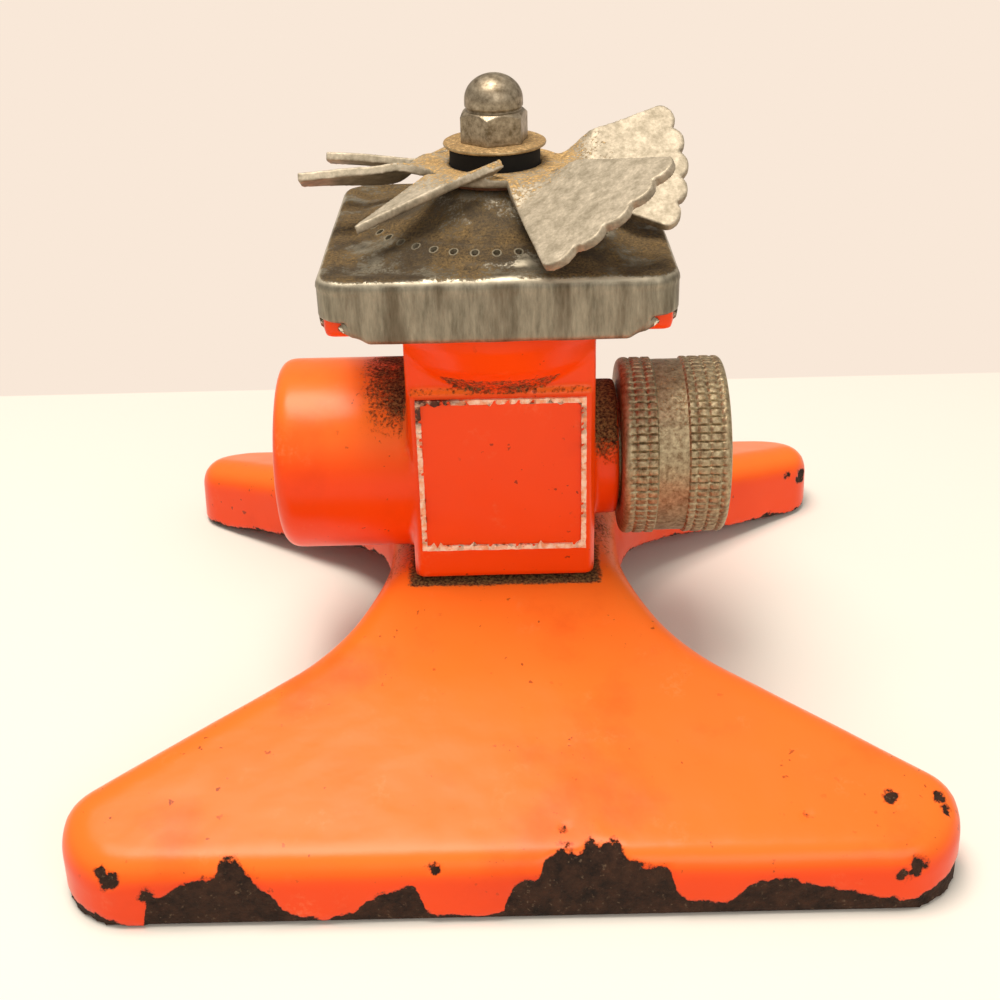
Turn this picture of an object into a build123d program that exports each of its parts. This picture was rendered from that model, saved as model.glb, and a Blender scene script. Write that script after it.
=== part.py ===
from build123d import *
import os
from math import atan, atan2, cos, hypot, pi, radians, sin, tan

# Whirling lawn sprinkler on a bow-tie foot, in millimetres.
# +X points out of the hose inlet, -Y to the front with the plaque, +Z up.
# The origin is on the floor, under the middle of the foot.

# Foot: one casting, hollow from below
foot_half_x = 69.8
foot_half_y = 72.4
foot_neck_half = 22.2
flare_start_y = 21.8
flare_radius = 36.0
toe_side = 16.2
shoulder_radius = 8.0
toe_radius = 12.0
foot_draft = 2.0
foot_wall = 2.4
foot_rim_radius = 5.5
neck_height = 27.0
neck_flat_half_y = 17.6
toe_edge_height = 10.9
saddle_radius = 45.0
arch_height = 10.5
arch_top_half_y = 20.0
arch_toe_gap = 18.4
arch_blend = 26.0
foot_pad_size = (27.0, 34.0)
foot_pad_depth = 3.0

# Foot screws, from below into the block
screw_spacing = 18.0
screw_radius = 2.1
screw_head_radius = 4.1
screw_head_height = 2.8
screw_head_edge = 0.9
screw_bite = 6.0
screw_tip_gap = 0.8
screw_slot = (1.0, 1.1)
screw_clearance = 0.3
lock_washer_height = 1.1
lock_washer_radius = 4.3
lock_washer_slit = 0.6
lock_washer_slant = 30

# Block, plaque and bosses: one casting
block_half_x = 15.9
block_half_y = 16.2
block_edge = 0.8
water_axis_z = 44.5
plaque_proud = 1.1
plaque_edge = 0.55
plaque_half_x = 15.3
plaque_foot_gap = 0.5
plaque_top_z = 63.0
plaque_corner = 2.4
border_half = 14.2
border_centre_z = 47.6
border_line = 0.75
border_proud = 0.4
end_boss_radius = 17.1
end_boss_length = 23.5
end_boss_edge = 2.6
end_boss_wall = 3.6
inlet_boss_radius = 12.2
inlet_boss_length = 4.5
chamber_radius = 10.5
floor_thickness = 8.0

# Bowl and square flange that the cover closes
bowl_start_z = 62.4
bowl_start_radius = 15.6
bowl_rim_radius = 24.8
bowl_bulge = 1.3
dish_radius = 23.6
dish_floor = 0.5
dish_slope_height = 3.5
flange_half = 27.0
flange_corner = 3.6
flange_clearance = 0.15
gasket_thickness = 1.15

# Pressed cover, crimped over the flange
cover_sheet = 0.9
cover_half = 28.05
cover_corner = 4.6
cover_top_z = 86.2
cover_edge_radius = 1.9
cover_fold_z = 75.6
fold_lip = 2.3
notch_half_low = 20.3
notch_half_high = 23.3
notch_top_z = 79.2
dome_radius = 25.4
jet_count = 38
jet_circle_radius = 20.65
jet_circle_z = 87.8
jet_radius = 0.72
cone_top_radius = 10.0
cone_top_z = 94.3
cone_bend = 1.6
dome_root = 3.0

# Spindle stack
spindle_radius = 2.5
spindle_head_radius = 6.0
spindle_head_height = 2.6
spindle_head_edge = 1.0
spindle_in_nut = 8.0
spindle_point = 0.5
seal_thickness = 0.9
seal_radius = 6.4
bush_radius = 7.45
bush_height = 5.2
fit_gap = 0.06
face_gap = 0.05
thrust_washer_radius = 9.4
thrust_washer_thickness = 0.8
top_washer_radius = 8.45
top_washer_thickness = 0.7
top_washer_gap = 0.15
nut_across_flats = 10.0
nut_hex_height = 4.9
nut_turn = 18
nut_chamfer_height = 1.6
nut_chamfer_width = 1.4
nut_dome_radius = 4.75
nut_tip_gap = 0.3
nut_dome_straight = 1.2

# Spinner: one stamped sheet
spinner_sheet = 1.5
hub_radius = 11.4
hub_root = 2.0
fan_pitch = 28.0
fan_lobes = 5
lobe_depth = 0.9
root_end = 17.0
blade_sweep = 35.0
fan_settings = [
    # azimuth, half angle, outer radius, pitch, rise
    (-58.8, 22.5, 34.0, fan_pitch, 0.6),
    (-1.3, 26.4, 30.6, fan_pitch + 5.0, 0.9),
]
finger_pitch = 22.0
finger_rise = 0.2
finger_tip_width = 2.2
# azimuth of the twist line, tip, raised root corner, lowered root corner
finger_settings = [
    (184.0, (-32.0, -4.6), (-9.6, -5.0), (-12.2, 9.6)),
    (158.0, (-29.2, 12.4), (-12.0, 10.2), (-4.0, 15.0)),
]
# the bent blade beside the near fan: tip, free corner, root corner
bent_blade_tip = (-20.6, -18.2)
bent_blade_corner = (1.3, -10.9)
bent_blade_root = (-10.9, -6.6)
bent_blade_bend_end = (-8.9, -10.9)
bent_blade_azimuth = -155.0
bent_blade_angle = 20.9
bent_blade_line = 12.7
# the slit beside it, as azimuths on the hub, and the lug that joins it to the hub
bent_blade_slit = (-97, -115)
bent_blade_lug = ((-5, 0), (-2, -6))

# Swivel hose coupling and the tailpiece that carries it
coupling_radius = 15.9
coupling_gap = 0.4
coupling_length = 18.6
coupling_wall = 2.5
coupling_thread_radius = 12.5
coupling_relief_radius = 13.1
coupling_mouth = 0.5
coupling_band_start = 6.0
coupling_band_length = 5.4
coupling_band_depth = 0.45
coupling_edge = 1.2
tail_radius = 9.6
tail_bore = 7.0
tail_flange_radius = 12.1
tail_flange_thickness = 2.2
tail_bite = 12.0
hose_washer_thickness = 3.2
hose_washer_bore = 9.2
screen_rim_thickness = 0.5
screen_rim_bore = 7.6
screen_dome_height = 3.2
screen_wall = 0.35

# How far a cut passes the face that it opens
past = 1.0

# Places that follow from the sizes above
arch_foot_y = foot_half_y - arch_toe_gap
flange_bottom_z = cover_fold_z + cover_sheet
flange_top_z = cover_top_z - cover_sheet - gasket_thickness
spinner_z = cone_top_z + thrust_washer_thickness + 2 * face_gap
bush_top_z = cone_top_z + bush_height
nut_z = bush_top_z + top_washer_thickness
spindle_top_z = nut_z + spindle_in_nut
dish_z = flange_bottom_z + dish_floor
inlet_face_x = block_half_x + inlet_boss_length
coupling_x = inlet_face_x + coupling_gap
tail_flange_x = coupling_x + coupling_wall + face_gap
tail_face_x = tail_flange_x + tail_flange_thickness
washer_face_x = tail_face_x + screen_rim_thickness + hose_washer_thickness
thread_start_x = washer_face_x + face_gap
head_z = neck_height - foot_wall - foot_pad_depth - lock_washer_height


def tube_x(radius, x0, x1, z=water_axis_z):
    """A cylinder along X from x0 to x1."""
    return Pos(x0, 0, z) * Rot(0, 90, 0) * Cylinder(
        radius, x1 - x0, align=(Align.CENTER, Align.CENTER, Align.MIN))


def disc(radius, z0, z1, x=0.0, y=0.0):
    """A cylinder along Z from z0 to z1."""
    return Pos(x, y, z0) * Cylinder(radius, z1 - z0, align=(Align.CENTER, Align.CENTER, Align.MIN))


def ring(outer, inner, z0, z1):
    return disc(outer, z0, z1) - disc(inner, z0 - past, z1 + past)


def rounded_prism(half, corner, z0, z1):
    """A square prism with rounded upright edges."""
    return extrude(Pos(0, 0, z0) * RectangleRounded(2 * half, 2 * half, corner), z1 - z0)


# Foot

def foot_outline():
    """The bow tie seen from above, on the floor plane."""
    shoulder_y = foot_half_y - toe_side
    quarter = [(foot_neck_half, flare_start_y), (foot_half_x, shoulder_y), (foot_half_x, foot_half_y)]
    # a rounding takes no more than the side that it stands on
    bend = tan((pi / 2 - atan2(shoulder_y - flare_start_y, foot_half_x - foot_neck_half)) / 2)
    flare = min(flare_radius, (flare_start_y - face_gap) / bend)
    toe = min(toe_radius, toe_side - shoulder_radius * bend - face_gap)
    right = [(x, -y) for x, y in reversed(quarter)] + quarter
    left = [(-x, -y) for x, y in right]
    face = make_face(Polyline(*right, *left, close=True))
    for radius, (x, y) in zip((flare, shoulder_radius, toe), quarter):
        corners = [v for v in face.vertices() if abs(abs(v.X) - x) < 0.01 and abs(abs(v.Y) - y) < 0.01]
        face = fillet(corners, radius)
    return face


def foot_block(inset):
    """The foot as a solid block, smaller by inset on every face but the floor."""
    outline = foot_outline() if inset == 0 else offset(foot_outline(), amount=-inset)
    walls = extrude(outline, neck_height + past, taper=foot_draft)
    slope = (neck_height - toe_edge_height) / (foot_half_y - neck_flat_half_y)
    reach = foot_half_y + past
    low = neck_height - slope * (reach - neck_flat_half_y)
    points = [(-reach, -past), (reach, -past), (reach, low), (neck_flat_half_y, neck_height),
              (-neck_flat_half_y, neck_height), (-reach, low)]
    roof = make_face(Polyline(*points, close=True))
    roof = fillet([v for v in roof.vertices() if v.Y > neck_height - 0.01], saddle_radius)
    block = walls & extrude(Plane.YZ * (Pos(0, -inset) * roof), foot_half_x + past, both=True)
    rim = [e for e in block.edges() if e.bounding_box().min.Z > toe_edge_height / 2
           and not (abs(e.center().X) < face_gap and abs(e.center().Y) < foot_half_y - toe_radius)]
    return fillet(rim, foot_rim_radius - inset)


def arch_cut():
    """The space under the neck, open to both sides."""
    far = arch_foot_y + arch_toe_gap / 2
    points = [(-far, 0), (-arch_foot_y, 0), (-arch_top_half_y, arch_height),
              (arch_top_half_y, arch_height), (arch_foot_y, 0), (far, 0), (far, -past), (-far, -past)]
    face = make_face(Polyline(*points, close=True))
    bends = [v for v in face.vertices() if abs(v.X) < arch_foot_y + past and v.Y > -past / 2]
    return extrude(Plane.YZ * fillet(bends, arch_blend), foot_half_x + past, both=True)


def make_foot():
    foot = foot_block(0)
    hollow = foot_block(foot_wall)
    hollow += extrude(offset(foot_outline(), amount=-foot_wall), -past)
    foot -= hollow
    foot -= arch_cut()
    pad_z = neck_height - foot_wall
    foot += Pos(0, 0, pad_z - foot_pad_depth) * Box(
        *foot_pad_size, foot_pad_depth + foot_wall / 2, align=(Align.CENTER, Align.CENTER, Align.MIN))
    for y in (-screw_spacing / 2, screw_spacing / 2):
        foot -= disc(screw_radius + screw_clearance, 0, neck_height + past, 0, y)
    return foot


def make_screw(y):
    screw = disc(screw_head_radius, head_z - screw_head_height, head_z, 0, y)
    screw = fillet(screw.edges().group_by(Axis.Z)[0], screw_head_edge)
    screw -= Pos(0, y, head_z - screw_head_height) * Box(
        2 * screw_head_radius + past, screw_slot[0], 2 * screw_slot[1])
    return screw + disc(screw_radius, head_z, neck_height + screw_bite, 0, y)


def make_lock_washer(y):
    """A split spring washer, cut at an angle."""
    washer = disc(lock_washer_radius, head_z, head_z + lock_washer_height, 0, y)
    washer -= disc(screw_radius + screw_clearance, head_z - past, neck_height, 0, y)
    slit = Pos(lock_washer_radius, y, head_z) * Rot(lock_washer_slant, 0, 0) * Box(
        2 * lock_washer_radius, lock_washer_slit, 4 * lock_washer_height)
    return washer - slit


# Block with plaque, bosses, bowl and flange

def bowl_profile(start_radius, rim_radius, z0, z1, bulge):
    """Half section of a bowl, to be revolved."""
    middle = ((start_radius + rim_radius) / 2 + bulge, (z0 + z1) / 2 - bulge)
    wall = ThreePointArc((start_radius, z0), middle, (rim_radius, z1))
    sides = Polyline((rim_radius, z1), (0, z1), (0, z0), (start_radius, z0))
    return revolve(Plane.XZ * make_face(wall + sides), Axis.Z)


def make_plaque():
    """The raised panel on the front face, with its square border line."""
    low = neck_height + plaque_foot_gap
    height = plaque_top_z - low
    panel = Rectangle(2 * plaque_half_x, height)
    panel = fillet(panel.vertices().group_by(Axis.Y)[0], plaque_corner)
    front = Plane(origin=(0, -block_half_y, low + height / 2), x_dir=(1, 0, 0), z_dir=(0, -1, 0))
    plaque = extrude(front * panel, plaque_proud)
    plaque = fillet(plaque.faces().sort_by(Axis.Y)[0].edges(), plaque_edge)
    plaque += extrude(front * panel, -block_edge * 2)
    face = Plane(origin=(0, -block_half_y - plaque_proud, border_centre_z), x_dir=(1, 0, 0), z_dir=(0, -1, 0))
    inner = border_half - border_line
    border = Rectangle(2 * border_half, 2 * border_half) - Rectangle(2 * inner, 2 * inner)
    return plaque + extrude(face * border, border_proud) + extrude(face * border, -plaque_proud)


def make_block():
    height = flange_bottom_z + past - neck_height
    upright = (Align.CENTER, Align.CENTER, Align.MIN)
    block = Pos(0, 0, neck_height) * Box(2 * block_half_x, 2 * block_half_y, height, align=upright)
    block = fillet(block.edges().filter_by(Axis.Z), block_edge)
    end_boss = tube_x(end_boss_radius, -block_half_x - end_boss_length, -block_half_x + block_edge)
    block += fillet(end_boss.edges().group_by(Axis.X)[0], end_boss_edge)
    block += tube_x(inlet_boss_radius, 0, inlet_face_x)
    # the bowl swells to the front and the back, and is cut flush with the block's sides
    bowl = bowl_profile(bowl_start_radius, bowl_rim_radius, bowl_start_z, flange_bottom_z, bowl_bulge)
    block += bowl & (Pos(0, 0, neck_height) * Box(2 * block_half_x, 2 * flange_half, height, align=upright))
    block += rounded_prism(flange_half, flange_corner, flange_bottom_z, flange_top_z)
    block += make_plaque()
    # water way: inlet, chamber, end boss and the dish under the jets
    block -= disc(chamber_radius, neck_height + floor_thickness, dish_z + past)
    block -= tube_x(tail_radius + fit_gap, inlet_face_x - tail_bite, inlet_face_x + past)
    block -= tube_x(tail_bore, 0, inlet_face_x)
    block -= tube_x(chamber_radius, -block_half_x - end_boss_length + end_boss_wall, 0)
    block -= Pos(0, 0, dish_z) * Cone(chamber_radius, dish_radius, dish_slope_height, align=upright)
    block -= disc(dish_radius, dish_z + dish_slope_height, flange_top_z + past)
    for y in (-screw_spacing / 2, screw_spacing / 2):
        block -= disc(screw_radius + fit_gap, neck_height - past, neck_height + screw_bite + screw_tip_gap, 0, y)
    return block


def make_gasket():
    half = cover_half - cover_edge_radius - flange_clearance
    gasket = rounded_prism(half, flange_corner, flange_top_z, flange_top_z + gasket_thickness)
    return gasket - disc(dish_radius, flange_top_z - past, cover_top_z)


# Cover

def cover_dome(drop, spread):
    """The raised middle of the cover, lowered and spread by the sheet's thickness for its inside."""
    reach = dome_radius + spread
    root_z = cover_top_z - dome_root
    outline = Polyline((0, root_z), (reach, root_z), (reach, cover_top_z - drop),
                       (jet_circle_radius + spread, jet_circle_z - drop),
                       (cone_top_radius + spread, cone_top_z - drop), (0, cone_top_z - drop), close=True)
    face = make_face(outline)
    bend = [v for v in face.vertices() if v.X > past and v.Y > jet_circle_z - drop - past / 2]
    return revolve(Plane.XZ * fillet(bend, cone_bend), Axis.Z)


def make_cover():
    shell = rounded_prism(cover_half, cover_corner, cover_fold_z, cover_top_z)
    shell = fillet(shell.edges().group_by(Axis.Z)[-1], cover_edge_radius)
    shell += cover_dome(0, 0)
    inner_half = cover_half - cover_sheet
    inner_corner = cover_corner - cover_sheet
    room = rounded_prism(inner_half, inner_corner, flange_bottom_z, cover_top_z - cover_sheet)
    room = fillet(room.edges().group_by(Axis.Z)[-1], cover_edge_radius - cover_sheet)
    shell -= room
    shell -= cover_dome(cover_sheet, 0)
    lip_half = cover_half - cover_sheet - fold_lip
    shell -= rounded_prism(lip_half, inner_corner, cover_fold_z - past, flange_bottom_z + past)
    # the skirt is notched at each corner, so that its four sides could be folded in
    far = cover_half + cover_corner
    sections = []
    for z, near in ((cover_fold_z - past / 2, notch_half_low), (notch_top_z, notch_half_high)):
        middle = (near + far) / 2
        sections.append(Pos(middle, middle, z) * Rectangle(far - near, far - near))
    notch = loft(sections)
    for turn in range(4):
        shell -= Rot(0, 0, 90 * turn) * notch
    # jets, the first one at the front
    jet = Pos(jet_circle_radius, 0, jet_circle_z) * Cylinder(jet_radius, 4 * cover_sheet + 2 * past)
    for k in range(jet_count):
        shell -= Rot(0, 0, -90 + 360 * k / jet_count) * jet
    return shell - disc(spindle_radius + fit_gap, cover_top_z, cone_top_z + past)


# Spindle stack

def make_spindle():
    head_top = cone_top_z - cover_sheet - seal_thickness
    bolt = disc(spindle_head_radius, head_top - spindle_head_height, head_top)
    bolt = fillet(bolt.edges().group_by(Axis.Z)[0], spindle_head_edge)
    shank = disc(spindle_radius, head_top, spindle_top_z)
    return bolt + chamfer(shank.edges().group_by(Axis.Z)[-1], spindle_point)


def make_dome_nut():
    hexagon = RegularPolygon(nut_across_flats / 2, 6, major_radius=False, rotation=nut_turn)
    nut = extrude(Pos(0, 0, nut_z) * hexagon, nut_hex_height)
    corner = nut_across_flats / 2 / cos(radians(30))
    # the turned chamfer that leaves curved edges on the flats
    dome_z = nut_z + nut_hex_height
    trim = Pos(0, 0, dome_z) * Cone(corner + nut_chamfer_width, nut_across_flats / 2 - face_gap,
                                    nut_chamfer_height, align=(Align.CENTER, Align.CENTER, Align.MAX))
    trim += disc(corner + nut_chamfer_width, nut_z - past, dome_z - nut_chamfer_height)
    nut &= trim
    ball_z = dome_z + nut_dome_straight
    nut += disc(nut_dome_radius, dome_z - past / 2, ball_z)
    ball = Pos(0, 0, ball_z) * Sphere(nut_dome_radius)
    nut += ball & disc(nut_dome_radius + past, ball_z, ball_z + nut_dome_radius + past)
    return nut - disc(spindle_radius + fit_gap, nut_z - past, spindle_top_z + nut_tip_gap)


# Spinner

def polar(radius, azimuth):
    return (radius * cos(radians(azimuth)), radius * sin(radians(azimuth)))


def fan_outline(azimuth, half_angle, radius):
    """A fan blade from above, with a scalloped rim."""
    corners = [polar(radius, azimuth - half_angle + 2 * half_angle * k / fan_lobes) for k in range(fan_lobes + 1)]
    lines = []
    for k in range(fan_lobes):
        crown = polar(radius + lobe_depth, azimuth - half_angle + 2 * half_angle * (k + 0.5) / fan_lobes)
        lines.append(ThreePointArc(corners[k], crown, corners[k + 1]))
    root_low = polar(hub_radius - hub_root, azimuth - half_angle)
    root_high = polar(hub_radius - hub_root, azimuth + half_angle)
    lines.append(Polyline(corners[-1], root_high, root_low, corners[0]))
    return make_face(Curve() + lines)


def finger_outline(tip, high_root, low_root):
    """A tapered finger from above, with a blunt tip."""
    dx, dy = tip[0] - high_root[0], tip[1] - high_root[1]
    length = hypot(dx, dy)
    across = (dy / length * finger_tip_width, -dx / length * finger_tip_width)
    tip_low = (tip[0] + across[0], tip[1] + across[1])
    inner_low = (low_root[0] * 0.6, low_root[1] * 0.6)
    inner_high = (high_root[0] * 0.75, high_root[1] * 0.75)
    return make_face(Polyline(tip, tip_low, low_root, inner_low, inner_high, high_root, close=True))


def twisted_sheet(azimuth, pitch, rise):
    """A strip along one radius: flat at the hub, and turned to its pitch and raised past root_end."""
    stations = [(hub_radius - 2 * hub_root, 0), (hub_radius - hub_root / 3, 0),
                ((hub_radius + root_end) / 2, 0.5), (root_end, 1), (blade_sweep + hub_root, 1)]
    middle = spinner_z + spinner_sheet / 2
    sections = []
    for radius, share in stations:
        plane = Plane(origin=(radius, 0, middle + rise * share), x_dir=(0, 1, 0), z_dir=(1, 0, 0))
        sections.append(plane * Rot(0, 0, pitch * share) * Rectangle(2 * blade_sweep, spinner_sheet))
    return Rot(0, 0, azimuth) * loft(sections, ruled=True)


def make_bent_blade():
    """The blade that is slit from the hub and bent down as one flat triangle."""
    height = spinner_z + spinner_sheet / 2
    along = polar(1, bent_blade_azimuth)
    line = Pos(bent_blade_line * along[0], bent_blade_line * along[1], height) * Rot(0, 0, bent_blade_azimuth)
    slit = [polar(hub_radius - hub_root / 4, azimuth) for azimuth in bent_blade_slit]
    outline = make_face(Polyline(bent_blade_tip, bent_blade_corner, *slit, bent_blade_bend_end,
                                 bent_blade_root, close=True))
    flat = extrude(outline, spinner_sheet / 2, both=True)
    local = Pos(-bent_blade_line, 0, 0) * Rot(0, 0, -bent_blade_azimuth) * flat
    lug = make_face(Polyline(bent_blade_bend_end, bent_blade_root, *bent_blade_lug, close=True))
    lug = extrude(Pos(0, 0, spinner_z) * lug, spinner_sheet)
    return lug + line * Rot(0, bent_blade_angle, 0) * local


def make_spinner():
    hub = disc(hub_radius - hub_root / 2, spinner_z, spinner_z + spinner_sheet)
    blades = [(fan_outline(azimuth, half_angle, radius), azimuth, pitch, rise)
              for azimuth, half_angle, radius, pitch, rise in fan_settings]
    blades += [(finger_outline(tip, high_root, low_root), azimuth, finger_pitch, finger_rise)
               for azimuth, tip, high_root, low_root in finger_settings]
    for outline, azimuth, pitch, rise in blades:
        column = extrude(Pos(0, 0, spinner_z) * outline, blade_sweep, both=True)
        hub += column & twisted_sheet(azimuth, pitch, rise)
    hub += make_bent_blade()
    return hub - disc(bush_radius + fit_gap, spinner_z - past, spinner_z + spinner_sheet + past)


# Hose inlet

def make_tailpiece():
    tail = tube_x(tail_radius, inlet_face_x - tail_bite, tail_flange_x)
    tail += tube_x(tail_flange_radius, tail_flange_x, tail_face_x)
    return tail - tube_x(tail_bore, inlet_face_x - tail_bite - past, tail_face_x + past)


def make_screen_rim():
    rim = tube_x(tail_flange_radius, tail_face_x, tail_face_x + screen_rim_thickness)
    return rim - tube_x(screen_rim_bore, tail_face_x - past, tail_face_x + past)


def cap_arc(base_radius, height):
    """Half of a cap's section, from its base to its crown on the axis."""
    radius = (base_radius ** 2 + height ** 2) / (2 * height)
    half_turn = atan(base_radius / (radius - height)) / 2
    middle = (height - radius + radius * cos(half_turn), radius * sin(half_turn))
    return ThreePointArc((0, base_radius), middle, (height, 0))


def make_screen():
    """The domed strainer, its crown towards the hose."""
    outer = cap_arc(screen_rim_bore - face_gap, screen_dome_height)
    inner = cap_arc(screen_rim_bore - face_gap - screen_wall, screen_dome_height - screen_wall)
    section = make_face(outer + Line(outer @ 1, inner @ 1) + inner + Line(inner @ 0, outer @ 0))
    return Pos(tail_face_x, 0, water_axis_z) * revolve(Plane.XZ * section, Axis.X)


def make_hose_washer():
    x0 = tail_face_x + screen_rim_thickness
    washer = tube_x(tail_flange_radius, x0, x0 + hose_washer_thickness)
    return washer - tube_x(hose_washer_bore, x0 - past, x0 + hose_washer_thickness + past)


def make_coupling():
    end_x = coupling_x + coupling_length
    nut = tube_x(coupling_radius, coupling_x, end_x)
    nut = fillet(nut.edges().filter_by(GeomType.CIRCLE), coupling_edge)
    groove_x = coupling_x + coupling_band_start
    groove = tube_x(coupling_radius + past, groove_x, groove_x + coupling_band_length)
    groove -= tube_x(coupling_radius - coupling_band_depth, groove_x, groove_x + coupling_band_length)
    nut -= groove
    nut -= tube_x(tail_radius + fit_gap, coupling_x - past, end_x)
    nut -= tube_x(coupling_relief_radius, coupling_x + coupling_wall, thread_start_x)
    nut -= tube_x(coupling_thread_radius, thread_start_x, end_x + past)
    mouth = Pos(end_x, 0, water_axis_z) * Rot(0, 90, 0) * Cone(
        coupling_thread_radius, coupling_thread_radius + coupling_mouth, coupling_mouth,
        align=(Align.CENTER, Align.CENTER, Align.MAX))
    return nut - mouth


half_spacing = screw_spacing / 2
nodes = {
    "base": make_foot(),
    "base_screw_front": make_screw(-half_spacing),
    "base_screw_rear": make_screw(half_spacing),
    "lock_washer_front": make_lock_washer(-half_spacing),
    "lock_washer_rear": make_lock_washer(half_spacing),
    "body_casting": make_block(),
    "cover_gasket": make_gasket(),
    "cover_plate": make_cover(),
    "spindle_bolt": make_spindle(),
    "spindle_seal": ring(seal_radius, spindle_radius + fit_gap,
                         cone_top_z - cover_sheet - seal_thickness, cone_top_z - cover_sheet),
    "bearing_bush": ring(bush_radius, spindle_radius + fit_gap, cone_top_z, bush_top_z),
    "thrust_washer": ring(thrust_washer_radius, bush_radius + fit_gap, cone_top_z + face_gap,
                          cone_top_z + face_gap + thrust_washer_thickness),
    "spinner": make_spinner(),
    "top_washer": ring(top_washer_radius, spindle_radius + top_washer_gap, bush_top_z, nut_z),
    "dome_nut": make_dome_nut(),
    "inlet_tailpiece": make_tailpiece(),
    "screen_rim": make_screen_rim(),
    "inlet_screen": make_screen(),
    "hose_washer": make_hose_washer(),
    "hose_coupling": make_coupling(),
}

os.makedirs("parts", exist_ok=True)
for name, shape in nodes.items():
    export_step(shape, f"parts/{name}.step")
    print(name, round(shape.volume, 1), shape.bounding_box().size)
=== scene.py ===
# %% [markdown]
# # A whirling lawn sprinkler
# The object is a garden sprinkler that has stood outdoors for years. A hollow iron foot and a
# cast block are dipped in orange enamel, a square pressed cover sprays through a ring of jets,
# and a stamped spinner turns above it. The construction comes from the frame, and this lesson
# gives it its real skin: soft castings, dented sheet, a true knurl, chips, dust and stains.

# %% Load the frame
import math
import bpy
import numpy as np
from mathutils import Vector, Matrix, noise


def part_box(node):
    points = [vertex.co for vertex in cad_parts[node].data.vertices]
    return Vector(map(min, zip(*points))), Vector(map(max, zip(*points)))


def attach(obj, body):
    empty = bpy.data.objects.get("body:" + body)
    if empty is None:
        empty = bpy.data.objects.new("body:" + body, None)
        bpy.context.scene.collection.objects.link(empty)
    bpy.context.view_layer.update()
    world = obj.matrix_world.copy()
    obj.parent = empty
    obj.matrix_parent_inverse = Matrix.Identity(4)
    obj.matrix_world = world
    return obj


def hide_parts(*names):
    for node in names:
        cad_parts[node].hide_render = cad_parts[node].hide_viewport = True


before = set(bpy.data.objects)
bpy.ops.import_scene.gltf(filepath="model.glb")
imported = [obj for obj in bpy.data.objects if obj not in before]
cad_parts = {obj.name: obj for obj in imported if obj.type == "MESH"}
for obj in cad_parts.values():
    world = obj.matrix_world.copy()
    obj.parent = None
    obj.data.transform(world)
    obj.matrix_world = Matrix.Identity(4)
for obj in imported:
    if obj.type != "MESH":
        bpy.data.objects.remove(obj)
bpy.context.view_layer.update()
MM = 0.001

# %% [markdown]
# ## Camera
# The photograph was taken from close by and a little above, so the near toe looks much wider
# than the rest. A short distance and a normal lens give the same strong perspective.

# %% Camera at the photograph's place
camera_place = Vector((0.9, -229.8, 154.7)) * MM
camera_yaw, camera_pitch, camera_roll = (math.radians(a) for a in (-0.388, 27.744, -1.515))
focal_length = 50.51

forward = Vector((math.sin(camera_yaw) * math.cos(camera_pitch),
                  math.cos(camera_yaw) * math.cos(camera_pitch), -math.sin(camera_pitch)))
level = Vector((math.cos(camera_yaw), -math.sin(camera_yaw), 0))
upright = level.cross(forward)
right = level * math.cos(camera_roll) + upright * math.sin(camera_roll)
up = upright * math.cos(camera_roll) - level * math.sin(camera_roll)

bpy.ops.object.camera_add()
camera = bpy.context.object
camera.data.lens = focal_length
camera.data.sensor_width = 36
camera.data.clip_start, camera.data.clip_end = 0.01, 20
turned = Matrix((right, up, -forward)).transposed().to_4x4()
camera.matrix_world = Matrix.Translation(camera_place) @ turned
bpy.context.scene.camera = camera
bpy.context.scene.view_settings.view_transform = "Standard"

# %% [markdown]
# ## Small helpers
# Every material is a graph of nodes, so one function adds a node, sets it up and links it.
# Colours are written as sRGB hex values, and one function turns them to linear light.

# %% Helpers for materials


def colour(code):
    """A hex colour as linear red, green, blue and alpha."""
    parts = [int(code[k:k + 2], 16) / 255 for k in (1, 3, 5)]
    return tuple(p / 12.92 if p <= 0.04045 else ((p + 0.055) / 1.055) ** 2.4 for p in parts) + (1.0,)


def add(tree, kind, inputs=(), **settings):
    """A shader node with its settings. An input is a value or another node's socket."""
    node = tree.nodes.new("ShaderNode" + kind)
    for name, value in settings.items():
        setattr(node, name, value)
    for key, value in dict(inputs).items():
        if isinstance(value, bpy.types.NodeSocket):
            tree.links.new(value, node.inputs[key])
        else:
            node.inputs[key].default_value = value
    return node


def new_material(name):
    """An empty material, its tree and the place on the piece in metres."""
    material = bpy.data.materials.new(name)
    material.use_nodes = True
    material.node_tree.nodes.clear()
    place = add(material.node_tree, "TexCoord").outputs["Object"]
    return material, material.node_tree, place


def grain(tree, place, size, low, high, detail=4.0, rough=0.6):
    """Noise with features of a real size in millimetres, stretched so that low gives 0 and high 1."""
    texture = add(tree, "TexNoise", {"Vector": place, "Scale": 1000 / size, "Detail": detail,
                                     "Roughness": rough})
    return add(tree, "MapRange", {0: texture.outputs[0], 1: low, 2: high}).outputs[0]


def between(tree, value, low, high):
    """0 at low and 1 at high, with a soft change between them."""
    return add(tree, "MapRange", {0: value, 1: low, 2: high}, interpolation_type="SMOOTHSTEP").outputs[0]


def combine(tree, operation, *values):
    return add(tree, "Math", dict(enumerate(values)), operation=operation).outputs[0]


def times(tree, *values):
    return combine(tree, "MULTIPLY", *values)


def inverse(tree, value):
    return combine(tree, "SUBTRACT", 1.0, value)


def blend_colours(tree, factor, first, second):
    """Two colours, each a hex code or a socket, mixed by the factor."""
    first, second = (colour(c) if isinstance(c, str) else c for c in (first, second))
    return add(tree, "Mix", {0: factor, 6: first, 7: second}, data_type="RGBA").outputs[2]


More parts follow.
